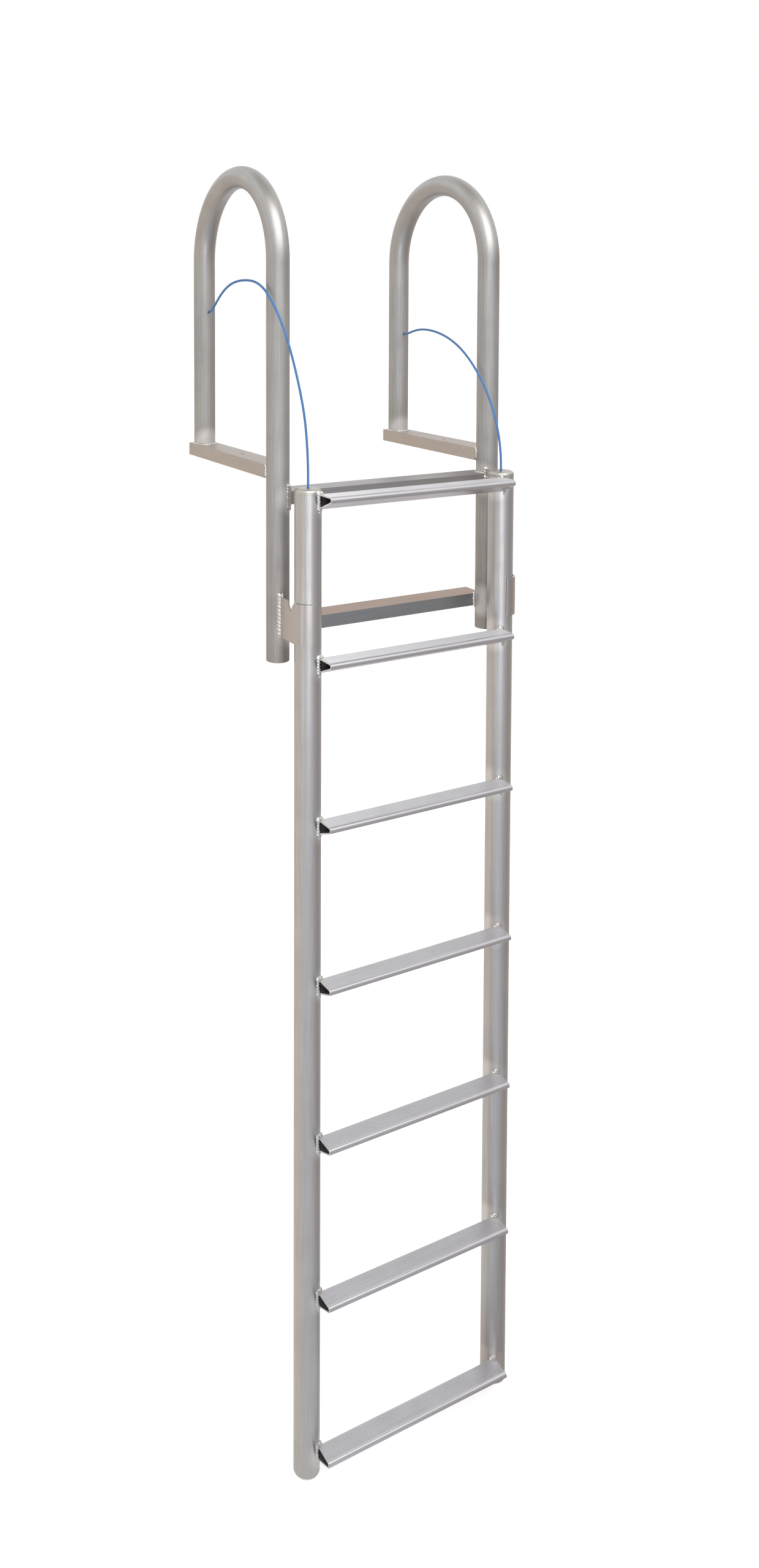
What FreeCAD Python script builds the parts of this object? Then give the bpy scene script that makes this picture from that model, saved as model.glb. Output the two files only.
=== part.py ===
"""Slide-up dock ladder of welded aluminium tube.

Two bent handrail loops stand on two flat foot bars that bolt to the deck. Their front legs run on
down the face of the dock as uprights, tied by two cross members. A seven-step ladder stands in
front of the uprights and slides up and down in two bent guide straps. A thin rope runs from each
dock-side leg to the cap on the rail in front of it.

Millimetres. +X is to the right as seen from the water, +Y towards the dock, +Z up. The origin is
the middle of the left foot bar's underside, which rests on the deck.
"""
import FreeCAD, Part
import Sketcher
import os
from math import acos, atan2, cos, pi, sin, sqrt, tan

from FreeCAD import Rotation, Vector

doc = FreeCAD.newDocument("DockLadder")

# Driving dimensions
SIZES = {
    # Fixed frame
    "loop_spacing": 489.0,          # between the centres of the two handrail loops
    "leg_spacing": 333.0,           # upright to dock-side leg, centre to centre
    "loop_height": 596.9,           # deck to the top of the arch
    "upright_drop": 349.3,          # deck to the foot of the upright
    "handrail_diameter": 44.5,
    "handrail_wall": 3.2,
    "foot_length": 349.3,
    "flat_tube_width": 50.8,
    "flat_tube_height": 25.4,
    "flat_tube_wall": 3.2,
    "leg_end_margin": 24.0,         # dock-side leg's centre to the foot bar's far end
    "cope_shortfall": 8.0,          # a coped end stops this far short of the upright's centre
    "deck_hole_diameter": 8.5,
    "deck_hole_inset": 64.0,        # far deck hole to the foot bar's far end
    "deck_hole_spacing": 142.0,
    "upper_cross_drop": 25.0,       # deck to the top of the upper cross member
    "upper_cross_setback": 7.6,     # its centre lies this far behind the uprights' centres
    "lower_cross_drop": 278.0,
    "lower_cross_setback": 32.0,
    # Guide straps
    "strap_top_drop": 222.0,        # deck to the top of the strap
    "strap_height": 76.2,
    "strap_thickness": 3.2,
    "strap_clearance": 1.5,         # air between the rail and the strap round it
    "strap_wrap_angle": 99.0,       # from the outboard side round to the front
    "strap_notch_depth": 19.0,      # cut into the top edge, so that the flat can bend
    "strap_notch_bottom": 15.0,     # the notch's lowest point, from the bend towards the upright
    "strap_notch_length": 25.0,     # the notch's far side, from the bend towards the upright
    # Sliding ladder
    "rail_diameter": 50.8,
    "rail_wall": 3.2,
    "rail_inset": 22.9,             # rail's centre inboard of the upright's centre
    "rail_standoff": 76.0,          # rail's centre in front of the upright's centre
    "rail_top_drop": 19.0,          # deck down to the rail's end under its cap
    "rail_below_last_tread": 57.0,
    "cap_thickness": 9.0,
    "cap_edge_round": 7.5,
    "step_spacing": 304.8,
    "step_end_inset": 13.0,         # step's end inboard of the rail's centre
    "step_seat_bite": 0.6,          # the back wall's end is coped this deep to the rail
    "first_tread_drop": 20.0,       # deck down to the top tread's surface
    "ladder_depth": 88.9,           # from the rails' backs to the treads' noses
    "tread_wall": 2.5,
    "back_wall_height": 28.0,
    "nose_thickness": 12.0,
    "rib_height": 0.5,
    "rib_width": 1.3,
    "rib_pitch": 2.4,
    # Ropes
    "rope_diameter": 4.8,
    "rope_hole_clearance": 0.4,     # round the rope where it goes through a wall
    "left_rope_height": 304.0,      # deck to the hole in the left dock-side leg
    "right_rope_height": 248.0,
}
STEP_COUNT = 7
RIB_COUNT = 14
PAST_THE_EDGE = 10                  # a cutting tool's overlap past the surface that it leaves by
ARC_SHARE = 0.45                    # of a rope's shorter neighbouring run, taken by an arc at each end

sheet = doc.addObject("Spreadsheet::Sheet", "Sizes")
for row, (alias, value) in enumerate(SIZES.items(), start=1):
    sheet.set(f"A{row}", alias)
    sheet.set(f"B{row}", str(value))
    sheet.setAlias(f"B{row}", alias)
doc.recompute()

finished = []


def size(alias):
    """A driving dimension as the sheet holds it."""
    return float(sheet.get(alias))


def bind(target, **expressions):
    """Ties properties to sheet cells: double underscores in a keyword stand for dots."""
    for name, expression in expressions.items():
        target.setExpression(name.replace("__", "."), expression)


# Places worked out in the sheet's own terms
LEG_Y = "(Sizes.foot_length / 2 - Sizes.leg_end_margin)"
UPRIGHT_Y = f"({LEG_Y} - Sizes.leg_spacing)"
RAIL_Y = f"({UPRIGHT_Y} - Sizes.rail_standoff)"
BACK_OFFSET = ("(sqrt(Sizes.rail_diameter ^ 2 / 4 - Sizes.step_end_inset ^ 2)"
               " - Sizes.step_seat_bite)")
STEP_BACK_Y = f"({RAIL_Y} - {BACK_OFFSET})"
TREAD_DEPTH = f"(Sizes.ladder_depth - Sizes.rail_diameter / 2 - {BACK_OFFSET})"
TREAD_LENGTH = "(Sizes.loop_spacing - 2 * Sizes.rail_inset - 2 * Sizes.step_end_inset)"
LEFT_RAIL_X = "Sizes.rail_inset"
RIGHT_RAIL_X = "(Sizes.loop_spacing - Sizes.rail_inset)"
LAST_TREAD = f"(-Sizes.first_tread_drop - {STEP_COUNT - 1} * Sizes.step_spacing)"
RAIL_FOOT = f"({LAST_TREAD} - Sizes.rail_below_last_tread)"
RAIL_TOP = "(-Sizes.rail_top_drop)"
THROUGH_BAR = f"Sizes.flat_tube_height + {2 * PAST_THE_EDGE}"


def origin_plane(body, role):
    """The body's own origin plane with this role."""
    return next(feature for feature in body.Origin.OriginFeatures if feature.Role == role)


def new_sketch(body, role, name):
    """A sketch on one of the body's origin planes."""
    sketch = body.newObject("Sketcher::SketchObject", name)
    sketch.AttachmentSupport = [(origin_plane(body, role), "")]
    sketch.MapMode = "FlatFace"
    return sketch


def constrain(sketch, name, constraint, expression):
    """Adds a named dimension to a sketch and ties it to the sheet."""
    sketch.renameConstraint(sketch.addConstraint(constraint), name)
    sketch.setExpression(f"Constraints.{name}", expression)


def cylinder(name, diameter, height, x="0", y="0", z="0"):
    """An upright Part::Cylinder whose sizes and place are expressions."""
    shape = doc.addObject("Part::Cylinder", name)
    bind(shape, Radius=f"({diameter}) / 2", Height=height,
         Placement__Base__x=x, Placement__Base__y=y, Placement__Base__z=z)
    return shape


def box(name, length, width, height, x, y, z):
    """A Part::Box placed by its low corner."""
    shape = doc.addObject("Part::Box", name)
    bind(shape, Length=length, Width=width, Height=height,
         Placement__Base__x=x, Placement__Base__y=y, Placement__Base__z=z)
    return shape


def fuse(name, shapes):
    """Several shapes as one."""
    joined = doc.addObject("Part::MultiFuse", name)
    joined.Shapes = shapes
    joined.Refine = True
    return joined


def cut(label, base, tools):
    """The base with one tool, or several fused, taken out of it."""
    result = doc.addObject("Part::Cut", label)
    result.Base = base
    result.Tool = tools[0] if len(tools) == 1 else fuse(f"{label}_cuts", tools)
    result.Refine = True
    return result


def finish(obj, label):
    """Names an object as a sub-part of the ladder."""
    obj.Label = label
    finished.append(obj)
    return obj


# Handrail loops
def handrail_loop(side, x, rope_height):
    """One bent tube: dock-side leg, half-circle arch, and front leg down to the upright's foot."""
    body = doc.addObject("PartDesign::Body", f"{side}_loop_body")
    path = new_sketch(body, "YZ_Plane", f"{side}_loop_path")
    front, back = 0.0, size("leg_spacing")
    foot = -size("upright_drop")
    seat = size("flat_tube_height")
    spring = size("loop_height") - size("handrail_diameter") / 2 - back / 2
    upright = path.addGeometry(Part.LineSegment(Vector(front, foot, 0), Vector(front, spring, 0)))
    arch = path.addGeometry(
        Part.ArcOfCircle(Part.Circle(Vector(back / 2, spring, 0), Vector(0, 0, 1), back / 2), 0, pi))
    leg = path.addGeometry(Part.LineSegment(Vector(back, spring, 0), Vector(back, seat, 0)))
    add = path.addConstraint
    add(Sketcher.Constraint("Vertical", upright))
    add(Sketcher.Constraint("Vertical", leg))
    add(Sketcher.Constraint("Tangent", arch, 2, upright, 2))
    add(Sketcher.Constraint("Tangent", arch, 1, leg, 1))
    add(Sketcher.Constraint("PointOnObject", upright, 1, -2))
    constrain(path, "drop", Sketcher.Constraint("DistanceY", upright, 1, -1, 1, -foot),
              "Sizes.upright_drop")
    constrain(path, "spread", Sketcher.Constraint("DistanceX", upright, 1, leg, 2, back),
              "Sizes.leg_spacing")
    constrain(path, "seat", Sketcher.Constraint("DistanceY", -1, 1, leg, 2, seat),
              "Sizes.flat_tube_height")
    constrain(path, "spring", Sketcher.Constraint("DistanceY", -1, 1, arch, 3, spring),
              "Sizes.loop_height - Sizes.handrail_diameter / 2 - Sizes.leg_spacing / 2")

    ring = new_sketch(body, "XY_Plane", f"{side}_loop_ring")
    bind(ring, AttachmentOffset__Base__z="-Sizes.upright_drop")
    for name, radius, expression in (
        ("outer", size("handrail_diameter") / 2, "Sizes.handrail_diameter / 2"),
        ("inner", size("handrail_diameter") / 2 - size("handrail_wall"),
         "Sizes.handrail_diameter / 2 - Sizes.handrail_wall"),
    ):
        circle = ring.addGeometry(Part.Circle(Vector(0, 0, 0), Vector(0, 0, 1), radius))
        ring.addConstraint(Sketcher.Constraint("Coincident", circle, 3, -1, 1))
        constrain(ring, name, Sketcher.Constraint("Radius", circle, radius), expression)
    doc.recompute()

    pipe = body.newObject("PartDesign::AdditivePipe", f"{side}_loop_pipe")
    pipe.Profile = ring
    pipe.Spine = (path, ["Edge1", "Edge2", "Edge3"])
    bind(body, Placement__Base__x=x, Placement__Base__y=UPRIGHT_Y)
    doc.recompute()

    hole = doc.addObject("Part::Cylinder", f"{side}_rope_hole")
    bind(hole, Radius="Sizes.rope_diameter / 2 + Sizes.rope_hole_clearance",
         Height=f"Sizes.handrail_diameter / 2 + {PAST_THE_EDGE}",
         Placement__Base__x=x, Placement__Base__y=LEG_Y, Placement__Base__z=rope_height)
    hole.Placement.Rotation = Rotation(Vector(1, 0, 0), 90)
    return finish(cut(f"{side}_loop", body, [hole]), f"{side}_handrail_loop")


def foot_bar(side, x):
    """Flat tube on the deck, coped round the upright, with two deck holes right through."""
    low_x = f"{x} - Sizes.flat_tube_width / 2"
    low_y = "-Sizes.foot_length / 2"
    outer = box(f"{side}_foot_outer", "Sizes.flat_tube_width", "Sizes.foot_length",
                "Sizes.flat_tube_height", low_x, low_y, "0")
    inner = box(f"{side}_foot_inner", "Sizes.flat_tube_width - 2 * Sizes.flat_tube_wall",
                f"Sizes.foot_length + {2 * PAST_THE_EDGE}",
                "Sizes.flat_tube_height - 2 * Sizes.flat_tube_wall",
                f"{low_x} + Sizes.flat_tube_wall", f"{low_y} - {PAST_THE_EDGE}", "Sizes.flat_tube_wall")
    cope = cylinder(f"{side}_foot_cope", "Sizes.handrail_diameter", THROUGH_BAR,
                    x, UPRIGHT_Y, f"-{PAST_THE_EDGE}")
    tools = [inner, cope]
    for name, offset in (("far", "0"), ("near", "Sizes.deck_hole_spacing")):
        hole_y = f"Sizes.foot_length / 2 - Sizes.deck_hole_inset - {offset}"
        tools.append(cylinder(f"{side}_{name}_hole", "Sizes.deck_hole_diameter", THROUGH_BAR,
                              x, hole_y, f"-{PAST_THE_EDGE}"))
    return finish(cut(f"{side}_foot", outer, tools), f"{side}_foot_bar")


def cross_member(name, drop, setback):
    """Flat tube across the frame, both ends coped to the uprights."""
    low_y = f"{UPRIGHT_Y} + {setback} - Sizes.flat_tube_width / 2"
    low_z = f"-{drop} - Sizes.flat_tube_height"
    length = "Sizes.loop_spacing - 2 * Sizes.cope_shortfall"
    outer = box(f"{name}_outer", length, "Sizes.flat_tube_width", "Sizes.flat_tube_height",
                "Sizes.cope_shortfall", low_y, low_z)
    inner = box(f"{name}_inner", "Sizes.loop_spacing", "Sizes.flat_tube_width - 2 * Sizes.flat_tube_wall",
                "Sizes.flat_tube_height - 2 * Sizes.flat_tube_wall",
                "0", f"{low_y} + Sizes.flat_tube_wall", f"{low_z} + Sizes.flat_tube_wall")
    copes = [cylinder(f"{name}_{end}_cope", "Sizes.handrail_diameter", THROUGH_BAR,
                      x, UPRIGHT_Y, f"{low_z} - {PAST_THE_EDGE}")
             for end, x in (("left", "0"), ("right", "Sizes.loop_spacing"))]
    return finish(cut(name, outer, [inner] + copes), f"{name}_member")


def guide_strap(side, rail_x, upright_x, outboard):
    """Bent strap: a flat from the upright's front to beside the rail, then round the rail to its front.

    outboard is -1 on the left and +1 on the right. A notch in the flat's top edge, right behind the bend,
    lets the flat turn into the wrap.
    """
    inner_r = "(Sizes.rail_diameter / 2 + Sizes.strap_clearance)"
    outer_r = f"({inner_r} + Sizes.strap_thickness)"
    top_z = "-Sizes.strap_top_drop"
    low_z = f"{top_z} - Sizes.strap_height"
    through = f"Sizes.strap_height + {2 * PAST_THE_EDGE}"
    sector = cylinder(f"{side}_strap_sector", f"2 * {outer_r}", "Sizes.strap_height", rail_x, RAIL_Y, low_z)
    bind(sector, Angle="Sizes.strap_wrap_angle")
    if outboard < 0:
        sector.Placement.Rotation = Rotation(Vector(0, 0, 1), 180)
    else:
        bind(sector, Placement__Rotation__Angle="360 deg - Sizes.strap_wrap_angle * 1 deg")
    flat_x = f"{rail_x} - {outer_r}" if outboard < 0 else f"{rail_x} + {inner_r}"
    flat = box(f"{side}_strap_flat", "Sizes.strap_thickness", "Sizes.rail_standoff", "Sizes.strap_height",
               flat_x, RAIL_Y, low_z)
    bore = cylinder(f"{side}_strap_bore", f"2 * {inner_r}", through,
                    rail_x, RAIL_Y, f"{low_z} - {PAST_THE_EDGE}")
    upright = cylinder(f"{side}_strap_cope", "Sizes.handrail_diameter", through,
                       upright_x, UPRIGHT_Y, f"{low_z} - {PAST_THE_EDGE}")

    outline = doc.addObject("Sketcher::SketchObject", f"{side}_notch_outline")
    outline.Placement.Rotation = Rotation(Vector(1, 1, 1), 120)
    bottom, deep, far = size("strap_notch_bottom"), -size("strap_notch_depth"), size("strap_notch_length")
    down = outline.addGeometry(Part.LineSegment(Vector(0, 0, 0), Vector(bottom, deep, 0)))
    rise = outline.addGeometry(Part.LineSegment(Vector(bottom, deep, 0), Vector(far, 0, 0)))
    edge = outline.addGeometry(Part.LineSegment(Vector(far, 0, 0), Vector(0, 0, 0)))
    add = outline.addConstraint
    add(Sketcher.Constraint("Coincident", down, 1, -1, 1))
    add(Sketcher.Constraint("Coincident", down, 2, rise, 1))
    add(Sketcher.Constraint("Coincident", rise, 2, edge, 1))
    add(Sketcher.Constraint("Coincident", edge, 2, down, 1))
    add(Sketcher.Constraint("Horizontal", edge))
    constrain(outline, "bottom", Sketcher.Constraint("DistanceX", down, 1, down, 2, bottom),
              "Sizes.strap_notch_bottom")
    constrain(outline, "deep", Sketcher.Constraint("DistanceY", down, 2, down, 1, -deep),
              "Sizes.strap_notch_depth")
    constrain(outline, "far", Sketcher.Constraint("DistanceX", edge, 2, edge, 1, far),
              "Sizes.strap_notch_length")
    notch = doc.addObject("Part::Extrusion", f"{side}_notch")
    notch.Base = outline
    notch.DirMode = "Custom"
    notch.Dir = Vector(1, 0, 0)
    notch.Solid = True
    bind(notch, LengthFwd=f"Sizes.strap_thickness + {2 * PAST_THE_EDGE}")
    bind(outline, Placement__Base__x=f"{flat_x} - {PAST_THE_EDGE}", Placement__Base__y=RAIL_Y,
         Placement__Base__z=top_z)

    blank = fuse(f"{side}_strap_blank", [sector, flat])
    return finish(cut(f"{side}_strap", blank, [bore, upright, notch]), f"{side}_guide_strap")


# Sliding ladder
def rail(side, x):
    """Round tube that carries the steps."""
    length = f"{RAIL_TOP} - {RAIL_FOOT}"
    outer = cylinder(f"{side}_rail_outer", "Sizes.rail_diameter", length, x, RAIL_Y, RAIL_FOOT)
    inner = cylinder(f"{side}_rail_inner", "Sizes.rail_diameter - 2 * Sizes.rail_wall",
                     f"{length} + {2 * PAST_THE_EDGE}", x, RAIL_Y, f"{RAIL_FOOT} - {PAST_THE_EDGE}")
    finish(cut(f"{side}_tube", outer, [inner]), f"{side}_rail")
    return outer


def rail_cap(side, x):
    """Domed disc welded on the rail's top, with the rope's hole in its middle."""
    disc = cylinder(f"{side}_cap_disc", "Sizes.rail_diameter", "Sizes.cap_thickness", x, RAIL_Y, RAIL_TOP)
    doc.recompute()
    rounded = doc.addObject("Part::Fillet", f"{side}_cap_round")
    rounded.Base = disc
    top = max(range(len(disc.Shape.Edges)), key=lambda i: disc.Shape.Edges[i].BoundBox.ZMin) + 1
    radius = size("cap_edge_round")
    rounded.Edges = [(top, radius, radius)]
    hole = cylinder(f"{side}_cap_hole", "Sizes.rope_diameter + 2 * Sizes.rope_hole_clearance",
                    f"Sizes.cap_thickness + {2 * PAST_THE_EDGE}", x, RAIL_Y, f"{RAIL_TOP} - {PAST_THE_EDGE}")
    return finish(cut(f"{side}_cap", rounded, [hole]), f"{side}_rail_cap")


def profile_loop(sketch, corners, nose, radius):
    """A back wall, a flat top, a round nose and a sloping underside, closed and tangent round the nose.

    corners are the back wall's top, the top's front end, the underside's front end and the back wall's foot.
    Returns the back wall, the top, the arc and the underside.
    """
    back_top, top_front, under_front, back_foot = corners
    back = sketch.addGeometry(Part.LineSegment(back_foot, back_top))
    top = sketch.addGeometry(Part.LineSegment(back_top, top_front))
    arc = sketch.addGeometry(Part.Arc(top_front, nose - Vector(radius, 0, 0), under_front))
    under = sketch.addGeometry(Part.LineSegment(under_front, back_foot))
    add = sketch.addConstraint
    add(Sketcher.Constraint("Coincident", back, 2, top, 1))
    add(Sketcher.Constraint("Coincident", under, 2, back, 1))
    add(Sketcher.Constraint("Vertical", back))
    add(Sketcher.Constraint("Horizontal", top))
    add(Sketcher.Constraint("Tangent", top, 2, arc, 1))
    add(Sketcher.Constraint("Tangent", arc, 2, under, 1))
    return back, top, arc, under


def tread_section(body, name):
    """The extrusion's hollow section, drawn from the back wall's top: forward is -Y, down is -Z."""
    depth = size("ladder_depth") - size("rail_diameter") / 2 - (
        sqrt(size("rail_diameter") ** 2 / 4 - size("step_end_inset") ** 2) - size("step_seat_bite"))
    height, radius, wall = size("back_wall_height"), size("nose_thickness") / 2, size("tread_wall")
    foot, nose = Vector(0, -height, 0), Vector(radius - depth, -radius, 0)
    to_foot = foot - nose
    lean = atan2(to_foot.y, to_foot.x) - acos(radius / to_foot.Length)
    away = Vector(cos(lean), sin(lean), 0)
    under, inner_under = nose + away * radius, nose + away * (radius - wall)
    slope = (under - foot).normalize()
    inner_foot = inner_under - slope * ((inner_under.x + wall) / slope.x)

    sketch = new_sketch(body, "YZ_Plane", name)
    outer = profile_loop(sketch, (Vector(0, 0, 0), Vector(nose.x, 0, 0), under, foot), nose, radius)
    inner = profile_loop(sketch, (Vector(-wall, -wall, 0), Vector(nose.x, -wall, 0), inner_under, inner_foot),
                         nose, radius - wall)
    add = sketch.addConstraint
    add(Sketcher.Constraint("Coincident", outer[0], 2, -1, 1))
    add(Sketcher.Constraint("Coincident", outer[2], 3, inner[2], 3))
    add(Sketcher.Constraint("Parallel", outer[3], inner[3]))
    constrain(sketch, "height", Sketcher.Constraint("DistanceY", outer[0], 1, outer[0], 2, height),
              "Sizes.back_wall_height")
    constrain(sketch, "nose", Sketcher.Constraint("Radius", outer[2], radius), "Sizes.nose_thickness / 2")
    constrain(sketch, "reach", Sketcher.Constraint("DistanceX", outer[2], 3, outer[0], 2, -nose.x),
              f"{TREAD_DEPTH} - Sizes.nose_thickness / 2")
    constrain(sketch, "inner_nose", Sketcher.Constraint("Radius", inner[2], radius - wall),
              "Sizes.nose_thickness / 2 - Sizes.tread_wall")
    constrain(sketch, "wall", Sketcher.Constraint("DistanceX", inner[0], 2, outer[0], 2, wall),
              "Sizes.tread_wall")
    return sketch


def rib_section(body, name):
    """The first grip rib's section: a low trapezium that stands on the tread's top."""
    width, height, pitch = size("rib_width"), size("rib_height"), size("rib_pitch")
    sketch = new_sketch(body, "YZ_Plane", name)
    corners = [Vector(-pitch - width / 2, 0, 0), Vector(-pitch - width / 4, height, 0),
               Vector(-pitch + width / 4, height, 0), Vector(-pitch + width / 2, 0, 0)]
    left, crest, right, foot = (sketch.addGeometry(Part.LineSegment(a, b))
                                for a, b in zip(corners, corners[1:] + corners[:1]))
    add = sketch.addConstraint
    add(Sketcher.Constraint("Coincident", left, 2, crest, 1))
    add(Sketcher.Constraint("Coincident", crest, 2, right, 1))
    add(Sketcher.Constraint("Coincident", right, 2, foot, 1))
    add(Sketcher.Constraint("Coincident", foot, 2, left, 1))
    add(Sketcher.Constraint("Horizontal", crest))
    add(Sketcher.Constraint("PointOnObject", foot, 1, -1))
    add(Sketcher.Constraint("PointOnObject", foot, 2, -1))
    add(Sketcher.Constraint("Equal", left, right))
    constrain(sketch, "width", Sketcher.Constraint("DistanceX", foot, 2, foot, 1, width),
              "Sizes.rib_width")
    constrain(sketch, "crest", Sketcher.Constraint("DistanceX", crest, 1, crest, 2, width / 2),
              "Sizes.rib_width / 2")
    constrain(sketch, "height", Sketcher.Constraint("DistanceY", left, 1, left, 2, height),
              "Sizes.rib_height")
    constrain(sketch, "place", Sketcher.Constraint("DistanceX", foot, 1, -1, 1, pitch - width / 2),
              "Sizes.rib_pitch - Sizes.rib_width / 2")
    return sketch


def step(number, rails):
    """One hollow tread, extruded with its grip ribs and coped to both rails."""
    body = doc.addObject("PartDesign::Body", f"tread_{number}")
    tread = body.newObject("PartDesign::Pad", f"tread_{number}_tube")
    tread.Profile = tread_section(body, f"tread_{number}_section")
    bind(tread, Length=TREAD_LENGTH)
    rib = body.newObject("PartDesign::Pad", f"tread_{number}_rib")
    section = rib_section(body, f"tread_{number}_rib_section")
    rib.Profile = section
    bind(rib, Length=TREAD_LENGTH)
    ribs = body.newObject("PartDesign::LinearPattern", f"tread_{number}_ribs")
    ribs.Originals = [rib]
    ribs.Direction = (section, ["H_Axis"])
    ribs.Reversed = True
    ribs.Occurrences = RIB_COUNT
    bind(ribs, Length=f"{RIB_COUNT - 1} * Sizes.rib_pitch")
    body.Tip = ribs
    bind(body, Placement__Base__x="Sizes.rail_inset + Sizes.step_end_inset", Placement__Base__y=STEP_BACK_Y,
         Placement__Base__z=f"-Sizes.first_tread_drop - {number - 1} * Sizes.step_spacing")
    return finish(cut(f"coped_tread_{number}", body, rails), f"step_{number}")


# Ropes
def rounded_path(points):
    """Straight runs joined by arcs. Returns the wire and the arcs' radii."""
    edges, radii = [], []
    start = points[0]
    for before, corner, after in zip(points, points[1:], points[2:]):
        arriving = (corner - before).normalize()
        leaving = (after - corner).normalize()
        trim = ARC_SHARE * min((corner - before).Length, (after - corner).Length)
        radius = trim / tan(arriving.getAngle(leaving) / 2)
        inward = (leaving - arriving).normalize()
        centre = corner + inward * sqrt(radius ** 2 + trim ** 2)
        into, out = corner - arriving * trim, corner + leaving * trim
        edges.append(Part.LineSegment(start, into).toShape())
        edges.append(Part.Arc(into, centre - inward * radius, out).toShape())
        radii.append(radius)
        start = out
    edges.append(Part.LineSegment(start, points[-1]).toShape())
    return Part.Wire(edges), radii


def rope(side, points):
    """A rope's plain tube along points chosen by eye."""
    path, radii = rounded_path([Vector(*point) for point in points])
    r = size("rope_diameter") / 2
    heading = Vector(*points[1]) - Vector(*points[0])
    ring = Part.Wire([Part.makeCircle(r, Vector(*points[0]), heading)])
    tube = path.makePipeShell([ring], True, True)
    expected = pi * r * r * path.Length
    print(f"{side} rope: length {path.Length:.0f}, tightest radius {min(radii):.0f}, "
          f"volume {tube.Volume:.0f} of {expected:.0f}")
    feature = doc.addObject("Part::Feature", f"{side}_cord")
    feature.Shape = tube
    return finish(feature, f"{side}_rope")


leg_y = size("foot_length") / 2 - size("leg_end_margin")
upright_y = leg_y - size("leg_spacing")
rail_y = upright_y - size("rail_standoff")
leg_inside_y = leg_y - size("handrail_diameter") / 2 + size("handrail_wall")
cap_foot = -size("rail_top_drop")

LEFT_ROPE = [
    (0, leg_inside_y, 304), (0, leg_inside_y - 16, 305), (-2, 92, 321), (-5, 54, 345), (-10, 8, 362),
    (-16, -42, 370), (-22, -95, 372), (-28, -146, 369), (-31, -190, 355), (-28, -225, 323),
    (-21, -248, 281), (-11, -261, 230), (0, -267, 176), (11, -267, 122), (19, -262, 68), (22.5, -259, 24),
    (22.9, rail_y, -2), (22.9, rail_y, cap_foot),
]
RIGHT_ROPE = [
    (489, leg_inside_y, 248), (489, leg_inside_y - 16, 248), (488, 90, 256), (484, 50, 262), (478, 3, 261),
    (471, -45, 255), (464, -94, 243), (459, -140, 223), (457, -180, 194), (458, -214, 156),
    (461, -238, 112), (464, -252, 66), (465.7, -257.5, 27), (466.1, rail_y, -1), (466.1, rail_y, cap_foot),
]

handrail_loop("left", "0", "Sizes.left_rope_height")
handrail_loop("right", "Sizes.loop_spacing", "Sizes.right_rope_height")
foot_bar("left", "0")
foot_bar("right", "Sizes.loop_spacing")
cross_member("upper_cross", "Sizes.upper_cross_drop", "Sizes.upper_cross_setback")
cross_member("lower_cross", "Sizes.lower_cross_drop", "Sizes.lower_cross_setback")
guide_strap("left", LEFT_RAIL_X, "0", -1)
guide_strap("right", RIGHT_RAIL_X, "Sizes.loop_spacing", 1)
rails = []
for side, x in (("left", LEFT_RAIL_X), ("right", RIGHT_RAIL_X)):
    rails.append(rail(side, x))
    rail_cap(side, x)
for number in range(1, STEP_COUNT + 1):
    step(number, rails)
rope("left", LEFT_ROPE)
rope("right", RIGHT_ROPE)

doc.recompute()
for obj in doc.Objects:
    if "Invalid" in obj.State or "Error" in obj.State:
        raise RuntimeError(f"{obj.Label} failed: {obj.State}")
for obj in finished:
    if obj.Shape.isNull() or not obj.Shape.isValid():
        raise RuntimeError(f"{obj.Label} has no valid shape")
os.makedirs("parts", exist_ok=True)
for obj in finished:
    obj.Shape.exportStep(f"parts/{obj.Label}.step")
    print(f"{obj.Label}: {len(obj.Shape.Solids)} solid, {obj.Shape.Volume / 1000:.1f} cm3")
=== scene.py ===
# %% [markdown]
# This lesson dresses a slide-up dock ladder. The real one is welded from mill-finish aluminium tube: two
# bent handrail loops bolt to the deck, and a seven-step ladder slides up and down in two guide straps on
# their legs. The rigid pieces arrive already modelled at their real size, so they are only given a finish
# here. What is added is what a drawing leaves out: the ropes, the weld beads, the light and the camera.

from math import atan2, ceil, cos, degrees, pi, radians, sin, sqrt
from random import Random

import bpy
from mathutils import Matrix, Vector


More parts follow.
